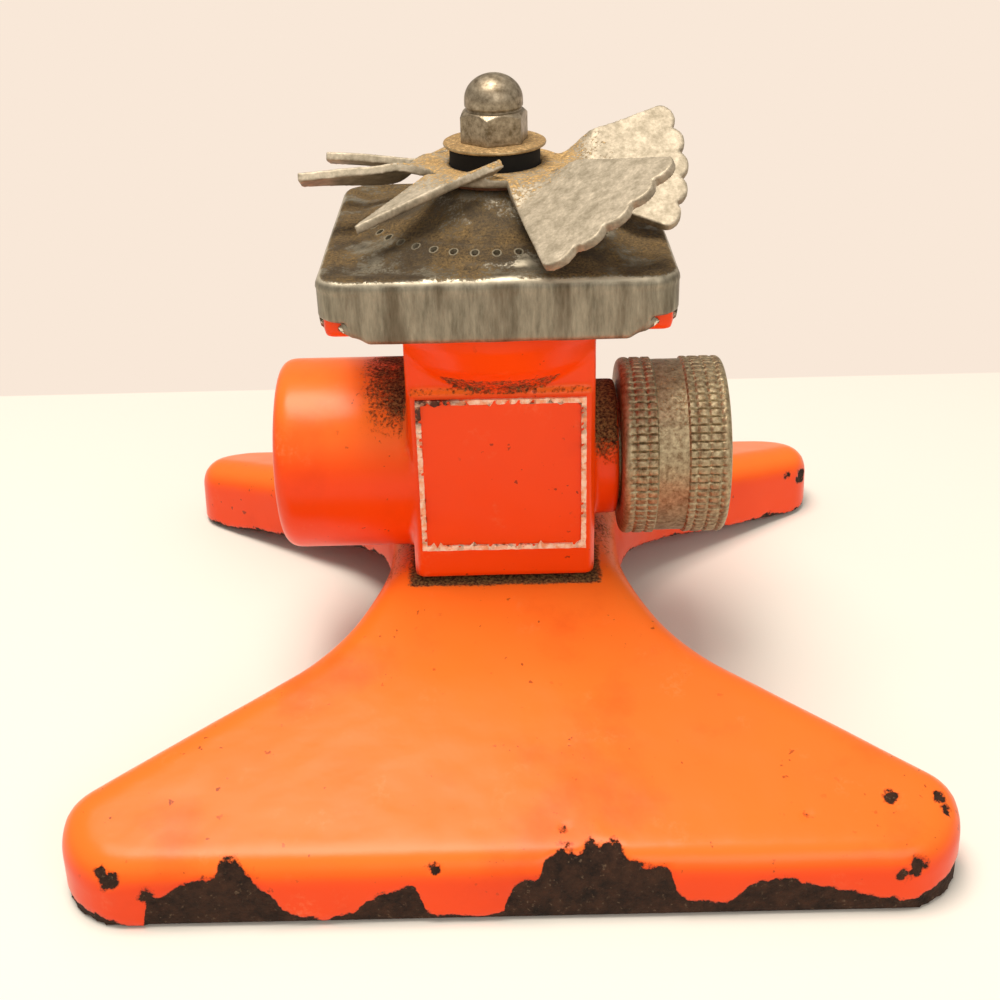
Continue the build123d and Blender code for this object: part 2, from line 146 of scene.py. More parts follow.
def facing_up(tree):
    """1 where the surface looks straight up, 0 on a wall and -1 below."""
    normal = add(tree, "NewGeometry").outputs["Normal"]
    return add(tree, "SeparateXYZ", {0: normal}).outputs["Z"]


def stored(tree, name):
    """The number that the piece stores at each of its points."""
    return add(tree, "Attribute", attribute_name=name).outputs["Fac"]


def stored_dust(tree, specks, raggedness, low, high):
    """The stored dust, with its edge broken up by the specks."""
    layer = stored(tree, "dust")
    ragged = times(tree, combine(tree, "SUBTRACT", specks, 0.5), raggedness)
    broken = combine(tree, "ADD", layer, ragged)
    return between(tree, times(tree, broken, combine(tree, "GREATER_THAN", layer, 0.02)), low, high)


def from_clean(tree, dusty, clean, covered):
    """A value that goes from that of the clean surface to that of the dust."""
    return add(tree, "MapRange", {0: dusty, 3: clean, 4: covered}).outputs[0]


def close_material(tree, height, strength, inputs):
    """The surface with its bump in millimetres, and the output."""
    bump = add(tree, "Bump", {"Height": height, "Distance": MM, "Strength": strength})
    shader = add(tree, "BsdfPrincipled", {"Normal": bump.outputs[0], **inputs})
    add(tree, "OutputMaterial", {"Surface": shader.outputs[0]})


# %% [markdown]
# ## Helpers for modelling
# An operator acts on all that is selected, so each piece is made alone: everything is deselected,
# the piece is made active, and it is named and hung on its body when it is done.

# %% Helpers for modelling


def deselect():
    if bpy.context.mode != "OBJECT":
        bpy.ops.object.mode_set(mode="OBJECT")
    bpy.ops.object.select_all(action="DESELECT")


def choose(*pieces):
    """Only these pieces are selected, and the first is active."""
    deselect()
    for piece in pieces:
        piece.select_set(True)
    bpy.context.view_layer.objects.active = pieces[0]
    return pieces[0]


def join(pieces):
    choose(*pieces)
    bpy.ops.object.join()
    return bpy.context.object


def settle():
    """The active piece's place and size go into its mesh."""
    bpy.ops.object.transform_apply(location=True, rotation=True, scale=True)
    return bpy.context.object


def apply(piece, kind, **settings):
    """A modifier that is added with its settings and applied at once."""
    choose(piece)
    modifier = piece.modifiers.new(kind.title(), kind)
    for name, value in settings.items():
        setattr(modifier, name, value)
    bpy.ops.object.modifier_apply(modifier=modifier.name)


def edit(piece):
    choose(piece)
    bpy.ops.object.mode_set(mode="EDIT")
    bpy.ops.mesh.select_all(action="SELECT")


def delete_faces(piece, wanted):
    """The faces whose number in the list is true are deleted."""
    edit(piece)
    bpy.ops.mesh.select_mode(type="FACE")
    bpy.ops.mesh.select_all(action="DESELECT")
    bpy.ops.object.mode_set(mode="OBJECT")
    piece.data.polygons.foreach_set("select", wanted)
    bpy.ops.object.mode_set(mode="EDIT")
    bpy.ops.mesh.delete(type="FACE")
    bpy.ops.mesh.select_mode(type="VERT")
    bpy.ops.object.mode_set(mode="OBJECT")


def points(piece):
    """The mesh's points in millimetres."""
    flat = np.empty(len(piece.data.vertices) * 3)
    piece.data.vertices.foreach_get("co", flat)
    return flat.reshape(-1, 3) / MM


def normals(piece):
    flat = np.empty(len(piece.data.vertices) * 3)
    piece.data.vertex_normals.foreach_get("vector", flat)
    return flat.reshape(-1, 3)


def move_points(piece, place):
    piece.data.vertices.foreach_set("co", (place * MM).ravel())
    piece.data.update()


def waves(place, size):
    """Smooth noise between -1 and 1 at each place, with bumps of this size in millimetres."""
    return np.array([noise.noise(Vector(p) / size) for p in place])


def store(piece, name, values):
    """One number for each point, for the materials to read."""
    layer = piece.data.attributes.new(name, "FLOAT", "POINT")
    layer.data.foreach_set("value", np.asarray(values, dtype=np.float32))


def ramp(value, low, high):
    t = np.clip((value - low) / (high - low), 0, 1)
    return t * t * (3 - 2 * t)


def finish_piece(piece, name, body, material, slot, *nodes, crease=40):
    """Names a piece, smooths it, gives it its material and hangs it on its body."""
    choose(piece)
    piece.name = piece.data.name = name
    bpy.ops.object.shade_smooth_by_angle(angle=math.radians(crease))
    piece.data.materials.clear()
    piece.data.materials.append(material)
    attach(piece, body)
    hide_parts(*nodes)
    print(name, "faces", len(piece.data.polygons))
    return piece


def lathe(profile, steps, axis="Z", height=0.0):
    """A line of (radius, place along the axis) pairs turned once round Z, or round X at a height."""
    if axis == "Z":
        corners, spin_axis = [(r, 0, along) for r, along in profile], (0, 0, 1)
    else:
        corners, spin_axis = [(along, 0, height + r) for r, along in profile], (1, 0, 0)
    mesh = bpy.data.meshes.new("profile")
    mesh.from_pydata([Vector(c) * MM for c in corners], [(k, k + 1) for k in range(len(corners) - 1)], [])
    piece = bpy.data.objects.new("profile", mesh)
    bpy.context.collection.objects.link(piece)
    edit(piece)
    bpy.ops.mesh.spin(steps=steps, angle=2 * math.pi, center=(0, 0, height * MM), axis=spin_axis)
    bpy.ops.mesh.select_all(action="SELECT")
    bpy.ops.mesh.remove_doubles(threshold=0.000005)
    bpy.ops.mesh.normals_make_consistent(inside=False)
    bpy.ops.object.mode_set(mode="OBJECT")
    return piece


# %% [markdown]
# ## Enamel, bare iron and dust
# Stoving enamel on a casting is thick and glossy, with a faint orange-peel skin. Faces that look up
# are painted paler, a painted highlight of the light from above. Where it has chipped, the rough brown
# iron lies a coat's thickness lower. Grey-brown dust has caked in the corners.

# %% Enamel with chips and dust
enamel_side, enamel_side_worn = "#F84A02", "#EC3E02"
enamel_lit_top, enamel_lit_top_worn, enamel_deep = "#FF7C28", "#FA7428", "#D03400"
# the two top colours are paler as a painted highlight of the light from above
iron_dark, iron_light, iron_crust = "#1C1009", "#4C3020", "#7C6650"
dust_dark, dust_light = "#3E2412", "#A9814E"
coat_thickness = 0.25


def orange_enamel(name, chipped):
    """Enamel that reads the stored dust, and the stored bare edge where it is chipped."""
    material, tree, place = new_material(name)
    # painted highlight: faces that look up are blended to the paler top colours, for the light from above
    painted_top_light = between(tree, facing_up(tree), 0.05, 0.85)
    cloud = grain(tree, place, 45, 0.35, 0.8, detail=3)
    side = blend_colours(tree, cloud, enamel_side, enamel_side_worn)
    top = blend_colours(tree, cloud, enamel_lit_top, enamel_lit_top_worn)
    paint = blend_colours(tree, painted_top_light, side, top)
    # scuffs and handling marks: pale rubbed patches and small dark pits
    scuff = times(tree, grain(tree, place, 9, 0.58, 0.72, detail=8),
                  grain(tree, place, 0.9, 0.45, 0.75, detail=3))
    paint = blend_colours(tree, times(tree, scuff, 0.30), paint, "#F9B37C")
    pits = times(tree, grain(tree, place, 1.6, 0.685, 0.72, detail=2),
                 grain(tree, place, 14, 0.45, 0.6, detail=1))
    paint = blend_colours(tree, times(tree, pits, 0.75), paint, "#7A2A0C")
    smear = times(tree, grain(tree, place, 22, 0.55, 0.75, detail=6), 0.35)
    paint = blend_colours(tree, smear, paint, enamel_deep)
    # dust, thick in the corners and broken up at its edge
    specks = grain(tree, place, 0.55, 0.25, 0.75, detail=5, rough=0.7)
    dusty = stored_dust(tree, specks, 0.7, 0.30, 0.75)
    dust = blend_colours(tree, grain(tree, place, 0.5, 0.4, 0.68, detail=6), dust_dark, dust_light)
    surface = blend_colours(tree, dusty, paint, dust)
    rough = from_clean(tree, dusty, 0.30, 0.95)
    # the paint's orange-peel skin and its slow waves, then the grains of dust
    peel = grain(tree, place, 1.8, 0.2, 0.8, detail=1)
    flow = grain(tree, place, 16, 0.2, 0.8, detail=2)
    height = combine(tree, "MULTIPLY_ADD", peel, 0.012, times(tree, flow, 0.22))
    height = combine(tree, "MULTIPLY_ADD", times(tree, specks, dusty), 0.35, height)
    if chipped:
        # the stored edge is made ragged: a red rim where the paint is thin, then bare iron
        wear = grain(tree, place, 2.2, 0.3, 0.7, detail=6, rough=0.65)
        ragged = combine(tree, "MULTIPLY_ADD", wear, 1.5, stored(tree, "bare"))
        bare = between(tree, ragged, 0.66, 0.84)
        rim = between(tree, ragged, 0.35, 0.66)
        surface = blend_colours(tree, times(tree, rim, 0.55), surface, "#A5300A")
        rust = grain(tree, place, 3.0, 0.35, 0.72, detail=9, rough=0.7)
        iron = blend_colours(tree, rust, iron_dark, iron_light)
        crust = times(tree, grain(tree, place, 0.7, 0.62, 0.74, detail=3), 0.6)
        iron = blend_colours(tree, crust, iron, iron_crust)
        surface = blend_colours(tree, bare, surface, iron)
        rough = add(tree, "Mix", {0: bare, 2: rough, 3: 0.85}).outputs[0]
        height = combine(tree, "MULTIPLY_ADD", bare, -coat_thickness, height)
        pitted = times(tree, grain(tree, place, 0.8, 0.3, 0.7, detail=8), bare)
        height = combine(tree, "MULTIPLY_ADD", pitted, 0.25, height)
    close_material(tree, height, 0.9, {"Base Color": surface, "Roughness": rough, "IOR": 1.5,
                                       "Specular IOR Level": 0.28})
    return material


foot_enamel = orange_enamel("orange_enamel_chipped", True)
block_enamel = orange_enamel("orange_enamel", False)

# %% [markdown]
# ## The foot
# The foot is a thin iron casting, hollow from below. Its form is right in the frame, but its edges
# are too exact for a casting under thick paint. So a welded copy is remeshed into small even
# squares, smoothed, and worn in code: the paint is gone along the toes, and the iron there
# lies lower, so the chip is a real step in the mesh.

# %% Sizes that the foot and the block share
block_half_x, block_half_y = 15.9, 16.2
panel_half, panel_low, panel_high, panel_proud = 15.3, 27.5, 63.0, 1.1
neck_top, toe_start = 27.0, 58.0

# %% Foot: where the paint is gone
# the height of the bare edge over the floor, at points across the front toe and the rear toe
front_bare = [(-70, 2.2), (-62, 2.0), (-59.5, 1.0), (-57, -1), (-55.4, -1), (-54.8, 5.6), (-52, 6.1),
              (-49.6, 8.0), (-46.9, 9.0), (-44.4, 8.6), (-43.4, 10.6), (-42.2, 11.2), (-40.3, 10.6),
              (-38.6, 9.1), (-37, 7.2), (-33.5, 2.4), (-29.5, 1.3), (-28, 0.5), (-26.5, 1.9),
              (-23.4, 2.5), (-21.5, 4.6), (-18.8, 6.0), (-15.2, 7.0), (-13.9, 6.4), (-13.3, 2.9),
              (-11.2, 1.0), (-9.3, 1.6), (-5, 1.0), (-1.2, 2.0), (0, 6.2), (1.7, 7.6), (4.2, 7.7),
              (5.0, 10.4), (6.4, 11.3), (10.4, 11.3), (11.8, 12.2), (16.4, 11.8), (17.6, 10.4),
              (21.4, 9.1), (23.6, 9.8), (24.2, 6.0), (26.3, 3.2), (32.6, 2.8), (34.5, 4.8), (35.8, 6.5),
              (41.6, 7.3), (43.6, 5.6), (45.4, 6.0), (50, 4.6), (54.7, 3.3), (60.8, 2.4), (64.3, 3.6),
              (70, 5.2)]
rear_bare = [(-70, 2.6), (-64, 3.4), (-60, 1.4), (-48, 0.6), (-41, 3.8), (-34, 4.6), (-30, 1.2),
             (-12, 0.8), (-6, 2.6), (3, 5.8), (12, 6.6), (16, 2.0), (30, 0.9), (42, 1.2), (47, 5.2),
             (55, 6.4), (61, 3.2), (66, 5.4), (70, 6.0)]
# small knocks: place on the foot and radius
knocks = [(-60.0, -71.6, 8.7, 1.3), (-61.3, -70.8, 9.9, 0.8), (-54.6, -72.2, 6.5, 1.0),
          (-11.4, -71.4, 9.7, 0.7), (58.1, -62.2, 13.9, 0.8), (44.9, -64.8, 13.1, 0.6),
          (60.4, -71.6, 8.6, 1.3), (58.2, -72.0, 7.4, 1.0), (65.4, -61.9, 13.8, 0.9),
          (66.3, -64.2, 12.6, 1.0), (8.1, -65.9, 12.8, 0.45), (64.6, 52.0, 10.6, 1.1),
          (67.5, 56.0, 9.2, 1.6), (-50.0, 62.0, 13.5, 1.1), (20.0, 70.5, 9.5, 1.4)]

# %% Foot: a soft copy of the casting
foot_cell = 0.78


def copy_of(node):
    """A welded copy of a frame node, as the start of a new piece."""
    piece = bpy.data.objects.new("copy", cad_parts[node].data.copy())
    bpy.context.collection.objects.link(piece)
    edit(piece)
    bpy.ops.mesh.customdata_custom_splitnormals_clear()
    bpy.ops.mesh.remove_doubles(threshold=0.00001)
    bpy.ops.object.mode_set(mode="OBJECT")
    return piece


def remesh(piece, cell, smoothing):
    """Even squares of a size in millimetres, then rounds of smoothing."""
    apply(piece, "REMESH", mode="VOXEL", voxel_size=cell * MM)
    apply(piece, "SMOOTH", factor=0.5, iterations=smoothing)


foot = copy_of("base")
remesh(foot, foot_cell, 4)
place = points(foot)
out = normals(foot)

arch_top, arch_flat, arch_toe = 10.5, 20.0, 54.0
bare_limit, bare_highest = 3.0, 15.5
along = np.abs(place[:, 1])
arch_edge = arch_top * (1 - ramp(along, arch_flat - 6, arch_toe + 4))
above_edge = place[:, 2] - arch_edge
toe_edge = np.where(place[:, 1] < 0, np.interp(place[:, 0], *zip(*front_bare)),
                    np.interp(place[:, 0], *zip(*rear_bare)))
on_toe = ramp(along, toe_start, toe_start + 6)
toe_edge = toe_edge * on_toe - 2 * (1 - on_toe)
flank_edge = 0.4 + 1.3 * waves(place * (1, 1, 0.2), 7.0) + np.where(place[:, 1] > 0, 0.5, 0)
bare = np.maximum(toe_edge - place[:, 2], flank_edge - above_edge)
for x, y, z, radius in knocks:
    away = np.linalg.norm(place - (x, y, z), axis=1)
    bare = np.maximum(bare, (radius - away) * 0.9)
bare = np.clip(bare, -bare_limit, bare_limit)
bare = np.where(place[:, 2] > bare_highest, -bare_limit, bare)
store(foot, "bare", bare)

# dust lies in a thin line round the block, and thinner on the neck's shoulders beside it
beside_block = np.maximum(np.abs(place[:, 0]) - block_half_x, np.abs(place[:, 1]) - 17.0)
heap = 0.95 - ramp(beside_block, 0.1, 1.9) * (1 + 0.35 * waves(place, 4.0))
heap = heap * (place[:, 2] > 20) * (out[:, 2] > 0.2)
neck_dust = 0.42 * ramp(20 - along, 0, 8) * (out[:, 2] > 0.3) * (np.abs(place[:, 0]) > 13)
neck_dust = neck_dust * (0.7 + 0.6 * waves(place, 6.0))
store(foot, "dust", np.clip(np.maximum(heap, neck_dust), 0, 1))

# slow waves of the casting, the step down to the bare iron, and a flat sole
sway = 0.10 * waves(place, 26.0) + 0.04 * waves(place, 7.0)
sunk = coat_thickness * ramp(bare, -0.2, 0.5)
sole = place[:, 2] < 0.4
place = place - out * (sunk + np.where(sole, 0, sway) + 0.1)[:, None]
place[:, 2] = np.maximum(place[:, 2], 0)
move_points(foot, place)
finish_piece(foot, "foot", "sprinkler_body", foot_enamel, "orange_enamel", "base", crease=60)

# %% [markdown]
# ## The cast block
# Block, bowl, flange, blind boss and hose boss are one casting. Each is added as a primitive at its
# place, bevelled, and joined. A voxel remesh melts them into one skin, and smoothing gives the
# inside corners the fillets that a foundry leaves.

# %% Block, bosses, bowl and flange
body_low, body_high = (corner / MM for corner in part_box("body_casting"))
water_axis = 44.5
boss_radius, hose_boss_radius, hose_boss_end = 17.1, 12.2, 20.4
bowl_low = 62.4
flange_low, flange_high, flange_half = 76.5, body_high.z, 27.0
casting_cell = 0.5


def block(low, high, bevel):
    """A bevelled block between two corners in millimetres."""
    deselect()
    low, high = Vector(low), Vector(high)
    bpy.ops.mesh.primitive_cube_add(size=1, location=(low + high) / 2 * MM)
    piece = bpy.context.object
    piece.scale = (high - low) * MM
    settle()
    apply(piece, "BEVEL", width=bevel * MM, segments=4, limit_method="ANGLE")
    return piece


def rod(radius, start, end, bevel):
    """A bevelled cylinder on the water axis, between two places along X."""
    deselect()
    middle = Vector(((start + end) / 2, 0, water_axis))
    bpy.ops.mesh.primitive_cylinder_add(vertices=96, radius=radius * MM, depth=(end - start) * MM,
                                        location=middle * MM, rotation=(0, math.pi / 2, 0))
    piece = settle()
    apply(piece, "BEVEL", width=bevel * MM, segments=4, limit_method="ANGLE")
    return piece


# the bowl swells out of the block to the front and the back, and is flush with its sides
bowl = lathe([(0, 60), (15.6, 60), (15.6, bowl_low), (18.6, 64.6), (21.4, 67.8), (23.6, 72.0),
              (24.8, flange_low), (24.8, 79), (0, 79)], 96)
place = points(bowl)
place[:, 0] = np.clip(place[:, 0], -block_half_x, block_half_x)
move_points(bowl, place)
parts = [
    block((-block_half_x, -block_half_y, neck_top), (block_half_x, block_half_y, 80), 0.9),
    block((-panel_half, -block_half_y - panel_proud, panel_low), (panel_half, 0, panel_high), 0.8),
    block((-flange_half, -flange_half, flange_low), (flange_half, flange_half, flange_high), 1.2),
    rod(boss_radius, body_low.x, 0, 2.6),
    rod(hose_boss_radius, 0, hose_boss_end, 0.6),
    bowl,
]
casting = join(parts)
remesh(casting, casting_cell, 5)
place = points(casting)
out = normals(casting)
x, y, z = place.T

# dust: on the two bosses, in the bowl's seam, on the panel's top, and round the block's foot
hose_top = (x > block_half_x) * ramp(out[:, 2], -0.1, 0.7) * 1.1
boss_top = (x < -block_half_x) * ramp(out[:, 2], 0.3, 0.95) * ramp(x, -28, -17)
bowl_meets = np.abs(np.hypot(x, y) - (block_half_x + (z - bowl_low) * 0.75)) < 1.2
seam = 0.6 * bowl_meets * (z > 61.5) * (z < 66) * (np.abs(y) > 13)
ledge = 0.4 * (z > panel_high - 0.8) * (z < panel_high + 1) * (out[:, 2] > 0.3)
foot_line = 0.76 * ramp(neck_top + 1.6 - z, 0, 1.6)
side_line = 0.5 * (np.abs(x) > 15.2) * (np.abs(x) < 16.6) * ramp(34 - z, 0, 8)
dust = np.max([hose_top, boss_top, seam, ledge, foot_line, side_line], axis=0)
store(casting, "dust", np.clip(dust * (0.85 + 0.3 * waves(place, 3.0)), 0, 1))
sway = 0.07 * waves(place, 18.0)
move_points(casting, place - out * (sway + 0.07)[:, None])
finish_piece(casting, "casting", "sprinkler_body", block_enamel, "orange_enamel", "body_casting",
             crease=60)

# %% [markdown]
# ### The square line on the panel
# A thin square ridge frames the front panel. Its paint was white, and rubbing has left it ragged.
# It is a flat square with its middle cut away, made ragged, thickened and laid on the panel.

# %% Raised line round the panel
border_half, border_centre, border_width, border_proud = 14.2, 47.6, 0.85, 0.32


def old_paint():
    """Flat white paint, rubbed thin: pinkish where the enamel shows through, dark where bare."""
    material, tree, place = new_material("worn_white_paint")
    patchy_mask = grain(tree, place, 1.2, 0.42, 0.62, detail=6)
    base = blend_colours(tree, patchy_mask, "#FFE3C8", "#F6A878")
    axes = add(tree, "SeparateXYZ", {0: place}).outputs
    corner = times(tree, between(tree, axes["Z"], 0.0560, 0.0585),
                   between(tree, times(tree, axes["X"], -1.0), 0.004, 0.010))
    lost = times(tree, corner, grain(tree, place, 1.5, 0.30, 0.5, detail=5))
    base = blend_colours(tree, lost, base, "#4A2B1C")
    chip = times(tree, grain(tree, place, 0.8, 0.62, 0.7, detail=4), 0.8)
    base = blend_colours(tree, chip, base, "#D2470F")
    close_material(tree, times(tree, patchy_mask, 0.15), 0.6, {"Base Color": base, "Roughness": 0.6})
    return material


deselect()
panel_face = -block_half_y - panel_proud + 0.12
bpy.ops.mesh.primitive_plane_add(size=2 * border_half * MM, rotation=(math.pi / 2, 0, 0),
                                 location=(0, panel_face * MM, border_centre * MM))
border = settle()
edit(border)
bpy.ops.mesh.subdivide(number_cuts=47)
bpy.ops.object.mode_set(mode="OBJECT")
reach, half_cell = border_half - border_width, 0.3
centres = [face.center / MM for face in border.data.polygons]
delete_faces(border, [max(abs(c.x), abs(c.z - border_centre)) < reach - half_cell for c in centres])
place = points(border)
# the inner edge is drawn in to the line's width, and both edges are left uneven
from_centre = np.maximum(np.abs(place[:, 0]), np.abs(place[:, 2] - border_centre))
inner = from_centre < border_half - half_cell
scale = reach / from_centre
place[inner, 0] *= scale[inner]
place[inner, 2] = border_centre + (place[inner, 2] - border_centre) * scale[inner]
place[:, 0] += 0.10 * waves(place, 0.9) * np.sign(place[:, 0])
place[:, 2] += 0.10 * waves(place + 40, 0.9)
move_points(border, place)
apply(border, "SOLIDIFY", thickness=(border_proud + 0.25) * MM, offset=1.0)
apply(border, "BEVEL", width=0.10 * MM, segments=2, limit_method="ANGLE")
border_white = old_paint()
finish_piece(border, "panel_border", "sprinkler_body", border_white, "orange_enamel", "body_casting")

# %% [markdown]
# ## The pressed cover
# One sheet is pressed into a square lid: a cone in the middle, a ring of jets at its foot, dished
# corners, and a skirt that is folded in under the flange on four sides. It is spun from a profile
# like a dish, and then every ring outside the jets is pulled from a circle out to a square.

# %% Cover: spin a dish
cover_low, cover_high = (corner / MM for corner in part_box("cover_plate"))
cover_half, cone_top, fold_z = cover_high.x, cover_high.z, cover_low.z
sheet = 0.9
jet_ring, jet_ring_z, jet_radius, jet_count = 20.65, 87.8, 0.56, 38
rim_z, rim_radius = cone_top - 8.1, 1.9
fold_radius, lip = 1.1, 1.3
columns = jet_count * 10
column_step = 2 * math.pi * jet_ring / columns

# the cone's rounded top, its slightly hollow slope, and square cells at the ring of jets
profile = [(2.7, cone_top), (4.5, cone_top), (6.5, cone_top), (8.2, cone_top - 0.02),
           (9.2, cone_top - 0.15), (10.0, cone_top - 0.45), (10.8, cone_top - 0.95)]
slope_start, slope_start_z = profile[-1]
slope_end, slope_end_z = jet_ring - 4 * column_step, jet_ring_z + 0.62
slope_rows, slope_hollow = 14, 0.5
for k in range(1, slope_rows + 1):
    t = k / slope_rows
    profile.append((slope_start + (slope_end - slope_start) * t,
                    slope_start_z * (1 - t) + slope_end_z * t - slope_hollow * math.sin(math.pi * t)))
for k in range(-3, 5):
    fall = 0.16 * k + (0.02 * k * k if k < 0 else 0)
    profile.append((jet_ring + k * column_step, jet_ring_z - fall))
# the flat ground outside the jets, the rolled rim, the skirt, and the fold under the flange
square_start, square_end = jet_ring + 4 * column_step, cover_half - rim_radius
ground_rows = 16
for k in range(1, ground_rows + 1):
    t = k / ground_rows
    level = ramp(t, 0, 0.5)
    profile.append((square_start + (square_end - square_start) * t,
                    (jet_ring_z - 0.64) * (1 - level) + rim_z * level))
for k in range(1, 7):
    turn = math.pi / 2 * k / 6
    profile.append((square_end + rim_radius * math.sin(turn), rim_z - rim_radius * (1 - math.cos(turn))))
skirt_top, skirt_end, skirt_rows = rim_z - rim_radius, fold_z + fold_radius, 10
for k in range(1, skirt_rows + 1):
    profile.append((cover_half, skirt_top + (skirt_end - skirt_top) * k / skirt_rows))
for k in range(1, 5):
    turn = math.pi / 2 * k / 4
    profile.append((cover_half - fold_radius * (1 - math.cos(turn)),
                    skirt_end - fold_radius * math.sin(turn)))
profile += [(cover_half - fold_radius - lip * k / 2, fold_z) for k in (1, 2)]
cover = lathe(profile, columns)

# %% Cover: pull it square, notch the corners and dent it


def square_reach(azimuth, half, corner):
    """How far a rounded square reaches in each direction."""
    folded = np.abs((azimuth + math.pi / 4) % (math.pi / 2) - math.pi / 4)
    flat = half / np.cos(folded)
    core = half - corner
    toward = core * (np.cos(folded) + np.sin(folded))
    rounded = toward + np.sqrt(np.maximum(toward ** 2 - 2 * core ** 2 + corner ** 2, 0))
    return np.where(half * np.tan(folded) > core, rounded, flat)


def from_middle(x, y):
    """How far a point lies from the middle, as a square measures it."""
    return np.maximum(np.abs(x), np.abs(y))


place = points(cover)
radius = np.hypot(place[:, 0], place[:, 1])
azimuth = np.arctan2(place[:, 1], place[:, 0])
sharpest, roundest = 1.2, 4.6
corner_radius = np.clip(roundest - (cover_half - radius), sharpest, roundest)
pull = ramp(radius, square_start, square_end - 0.4)
radius = radius + (square_reach(azimuth, radius, corner_radius) - radius) * pull
x, y, z = radius * np.cos(azimuth), radius * np.sin(azimuth), place[:, 2]
# the skirt's hem rises to a notch at each corner, and only the four tabs are folded in
tab_low, tab_high, notch_z = 20.3, 23.3, 79.2
side = np.minimum(np.abs(x), np.abs(y))
skirt = (z < skirt_top - 0.01)
hem = fold_z + (notch_z - fold_z) * np.clip((side - tab_low) / (tab_high - tab_low), 0, 1)
z = np.where(skirt, skirt_top + (z - skirt_top) * (skirt_top - hem) / (skirt_top - fold_z), z)
curl = 1 - 0.85 * ramp(side, tab_low, tab_low + 1.5)
outer = cover_half - (cover_half - from_middle(x, y)) * curl
folded_in = skirt & (from_middle(x, y) < cover_half - 0.01) & (side < tab_high)
stretch = np.where(folded_in, outer / from_middle(x, y), 1)
x, y = x * stretch, y * stretch
# dished corners, then dents and waves that years of knocks have left
inset = cover_half - from_middle(x, y)
dish = 0.6 * ramp(np.hypot(x, y), 24.5, 30) * ramp(inset, 1.6, 5.5) * ~skirt
place = np.c_[x, y, z - dish]
dent = 0.16 * waves(place, 9.0) + 0.04 * waves(place, 2.5)
on_top = ramp(np.hypot(x, y), 21, 23)
place[:, 2] += np.where(skirt, 0.15 * waves(place + 9, 6.0) * (side < tab_low), dent * on_top)
bulge = 0.12 * waves(place + 30, 8.0) - 0.12
place[:, :2] *= (1 + np.where(skirt, bulge, 0) / cover_half)[:, None]
move_points(cover, place)

# %% Cover: the ring of jets
# the cells inside each hole are deleted, and the edge that is left is drawn to a circle


def nearest_jet(place):
    """Each point's azimuth, and how far it lies sideways and outwards from its nearest jet."""
    azimuth = np.arctan2(place[:, 1], place[:, 0])
    turns = (azimuth + math.pi / 2) / (2 * math.pi) * jet_count
    sideways = (turns - np.round(turns)) * (2 * math.pi / jet_count) * jet_ring
    return azimuth, sideways, np.hypot(place[:, 0], place[:, 1]) - jet_ring


ring_half = 2.0
azimuth, sideways, outwards = nearest_jet(place)
away = np.hypot(sideways, outwards)
at_ring = np.abs(outwards) < ring_half
cells = [list(face.vertices) for face in cover.data.polygons]
delete_faces(cover, [bool(at_ring[c].all() and away[c].mean() < jet_radius + 0.1) for c in cells])
place = points(cover)
azimuth, sideways, outwards = nearest_jet(place)
away = np.hypot(sideways, outwards)
faces_round = np.zeros(len(place))
for face in cover.data.polygons:
    faces_round[list(face.vertices)] += 1
rim = (faces_round < 4) & (away < jet_radius * 1.9) & (np.abs(outwards) < ring_half)
draw = np.where(rim, jet_radius / np.maximum(away, 0.05), 1)
radius = jet_ring + outwards * draw
azimuth = azimuth + sideways * (draw - 1) / jet_ring
place[rim] = np.c_[radius * np.cos(azimuth), radius * np.sin(azimuth), place[:, 2]][rim]
move_points(cover, place)
apply(cover, "SOLIDIFY", thickness=sheet * MM, offset=-1.0)
